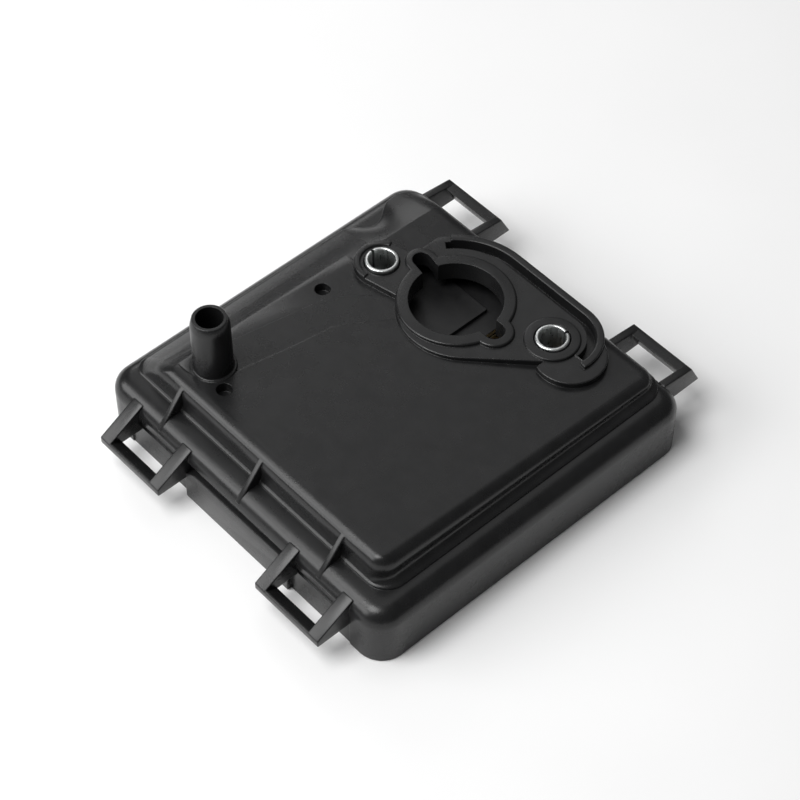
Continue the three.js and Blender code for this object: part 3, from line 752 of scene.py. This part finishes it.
def moulded_plastic(name, dark, light, rough_low, rough_high):
    """Satin black plastic: fine grain, slow flow marks and faint patches."""
    m = Nodes(name)
    grain = m.noise(0.28, 4, 0.6)
    flow = m.noise(14, 3, 0.5, (1, 0.45, 1))
    patches = m.noise(4.5, 4, 0.55)
    m.drive("Base Color", m.blend(m.spread(patches, 0, 1), dark, light))
    m.drive("Roughness", m.spread(m.sum(flow, patches, 0.6), rough_low, rough_high, 0.55, 1.05))
    m.bump(grain, 0.02, 0.3)
    m.fix(IOR=1.5, Specular_IOR_Level=0.4)
    return m.material


def bare_steel(name, color_low, color_high, rough_low, rough_high, stretch):
    """Zinc plated steel; a stretch below 1 draws its marks out along that axis."""
    m = Nodes(name)
    brushed = m.noise(0.5, 5, 0.6, stretch)
    blotch = m.noise(1.6, 3, 0.5)
    m.drive("Base Color", m.blend(m.spread(blotch, 0, 1), color_low, color_high))
    m.drive("Roughness", m.spread(brushed, rough_low, rough_high))
    m.bump(brushed, 0.02, 0.12)
    m.fix(Metallic=1.0)
    return m.material


def cast_urethane(name):
    """Dull black rubber with fine pores."""
    m = Nodes(name)
    pores = m.noise(0.7, 5, 0.65)
    tone = m.spread(m.noise(9, 3, 0.5), 0, 1)
    m.drive("Base Color", m.blend(tone, (0.03, 0.03, 0.029), (0.052, 0.052, 0.05)))
    m.drive("Roughness", m.spread(pores, 0.55, 0.8))
    m.bump(pores, 0.08, 0.3)
    return m.material


def filter_paper(name):
    """Tan paper with fine fibres."""
    m = Nodes(name)
    fibre = m.noise(0.25, 6, 0.7, (1, 0.3, 1))
    tone = m.spread(m.noise(6, 3, 0.5), 0, 1)
    m.drive("Base Color", m.blend(tone, (0.56, 0.43, 0.22), (0.68, 0.55, 0.31)))
    m.drive("Roughness", m.spread(fibre, 0.8, 0.95))
    m.bump(fibre, 0.06)
    return m.material


def open_foam(name):
    """Black foam: thin cell walls, with the openings between them painted near black as shade in
    the pores.
    """
    m = Nodes(name)
    cells = m.add("ShaderNodeTexVoronoi", feature="DISTANCE_TO_EDGE")
    cells.inputs["Scale"].default_value = 1 / (0.9 * MM)
    m.link(m.coords, cells.inputs["Vector"])
    wall = m.spread(cells.outputs["Distance"], 1, 0, 0.02, 0.22)
    # painted shade: the cell openings get a near-black colour for the shade inside the pores, the
    # cell walls the lighter one
    m.drive("Base Color", m.blend(wall, (0.006, 0.006, 0.007), (0.06, 0.062, 0.067)))
    m.drive("Roughness", m.spread(m.noise(3, 2), 0.85, 0.97))
    m.bump(wall, 0.5)
    return m.material


def pale_floor():
    m = Nodes("floor_paper")
    tone = m.noise(60, 2)
    m.drive("Base Color", m.blend(m.spread(tone, 0, 1), (0.9, 0.9, 0.9), (0.92, 0.92, 0.92)))
    m.drive("Roughness", m.spread(tone, 0.75, 0.85))
    return m.material


# ------------------------------------------------------------- pieces

def set_material(made, material):
    made.data.materials.clear()
    made.data.materials.append(material)


def ride(made, body, material):
    set_material(made, material)
    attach(made, body)
    return made


def round_node(node, width_mm):
    """Rounds the edges of a CAD node with modifiers, which leave its own mesh as it is."""
    bevel = node.modifiers.new("edges", "BEVEL")
    bevel.width = width_mm * MM
    bevel.segments = BEVEL_SEGMENTS
    bevel.limit_method = "ANGLE"
    bevel.angle_limit = math.radians(NODE_EDGE_ANGLE)
    bevel.use_clamp_overlap = True


# ------------------------------------------------------------- scene

def area_light(name, spot, size, power):
    data = bpy.data.lights.new(name, "AREA")
    data.shape = "RECTANGLE"
    data.size, data.size_y = size
    data.energy = power
    lamp = bpy.data.objects.new(name, data)
    lamp.location = spot
    lamp.rotation_euler = (LIT_POINT - Vector(spot)).to_track_quat("-Z", "Y").to_euler()
    bpy.context.scene.collection.objects.link(lamp)


def camera():
    """Looks at AIM from AZIMUTH, measured from the front towards +X, and ELEVATION."""
    a, e = math.radians(AZIMUTH), math.radians(ELEVATION)
    back = Vector((math.sin(a) * math.cos(e), -math.cos(a) * math.cos(e), math.sin(e)))
    data = bpy.data.cameras.new("camera")
    data.lens = LENS
    data.sensor_width = SENSOR
    data.clip_end = 20
    made = bpy.data.objects.new("camera", data)
    made.location = (AIM + back * DISTANCE) * MM
    made.rotation_euler = back.to_track_quat("Z", "Y").to_euler()
    bpy.context.scene.collection.objects.link(made)
    bpy.context.scene.camera = made


def floor():
    half = FLOOR_HALF
    corners = [(-half, -half, 0), (half, -half, 0), (half, half, 0), (-half, half, 0)]
    made = mesh_object("floor", corners, [(0, 1, 2, 3)])
    set_material(made, pale_floor())


def lights():
    world = bpy.data.worlds.new("studio")
    world.use_nodes = True
    background = world.node_tree.nodes["Background"]
    background.inputs["Color"].default_value = (1, 1, 1, 1)
    background.inputs["Strength"].default_value = WORLD_STRENGTH
    bpy.context.scene.world = world
    bpy.context.scene.view_settings.view_transform = "Standard"
    for name, light in LIGHTS.items():
        area_light(name, **light)


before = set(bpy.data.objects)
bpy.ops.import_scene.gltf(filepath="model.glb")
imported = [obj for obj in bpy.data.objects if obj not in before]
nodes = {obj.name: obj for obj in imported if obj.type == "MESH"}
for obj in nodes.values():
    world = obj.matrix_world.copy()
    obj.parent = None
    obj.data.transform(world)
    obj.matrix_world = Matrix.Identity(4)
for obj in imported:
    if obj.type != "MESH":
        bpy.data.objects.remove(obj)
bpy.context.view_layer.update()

plastic = moulded_plastic(
    "black_nylon", (0.008, 0.0081, 0.0084), (0.012, 0.0121, 0.0125), 0.25, 0.3
)
guide_plastic = moulded_plastic(
    "guide_nylon", (0.007, 0.007, 0.0074), (0.011, 0.011, 0.0115), 0.38, 0.5
)
zinc = bare_steel("zinc_plate", (0.55, 0.56, 0.56), (0.72, 0.74, 0.73), 0.22, 0.42, (1, 1, 0.15))
screw_zinc = bare_steel("screw_zinc", (0.5, 0.5, 0.48), (0.66, 0.66, 0.63), 0.28, 0.45, (1, 1, 1))
screen_zinc = bare_steel(
    "screen_zinc", (0.5, 0.51, 0.52), (0.62, 0.63, 0.64), 0.3, 0.5, (1, 0.2, 1)
)

shell = ride(base_housing(), "housing", plastic)
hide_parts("base_housing")
for bush_name, spot in BUSHES.items():
    sleeve = ride(split_bush(bush_name, spot), "housing", zinc)
    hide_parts(bush_name)

# Material and edge width in millimetres of the CAD nodes that are shown as they are.
NODE_LOOKS = {
    "air_guide": (guide_plastic, 0.25),
    **{f"guide_screw_{number}": (screw_zinc, 0.15) for number in range(1, 5)},
    "element_frame": (cast_urethane("urethane"), 0.4),
    "pleated_media": (filter_paper("paper"), 0.2),
    "dust_screen": (screen_zinc, 0.08),
    "clean_screen": (screen_zinc, 0.08),
    "foam_prefilter": (open_foam("foam"), 0.8),
}
for node_name, (look, width) in NODE_LOOKS.items():
    set_material(nodes[node_name], look)
    round_node(nodes[node_name], width)

floor()
lights()
camera()
